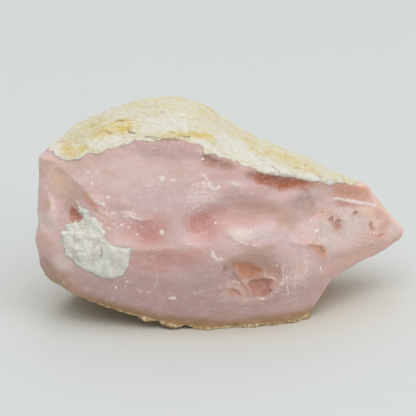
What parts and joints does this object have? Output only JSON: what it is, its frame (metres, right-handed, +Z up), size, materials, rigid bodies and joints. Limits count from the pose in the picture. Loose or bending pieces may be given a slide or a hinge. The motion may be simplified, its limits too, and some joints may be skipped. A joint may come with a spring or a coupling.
{
  "type": "rough opal specimen",
  "caption": "Rough pink opal: a broken, waxy piece of an opal vein with a pale yellow rind on top, a thin tan crust below, a white clay patch and shell-shaped flake scars.",
  "frame": {"origin": "centre of the bounding box's bottom, in the plane the stone rests on", "axes": "+X along the stone's length towards its narrow tip, +Y from the broken front face to the back, +Z up towards the rind"},
  "size_m": [0.0756, 0.0378, 0.042],
  "materials": {
    "opal": "waxy, translucent pink common opal with a chalky cream rind, tan crust and white clay"
  },
  "bodies": {
    "root": {"opal_stone": "opal"}
  },
  "joints": []
}
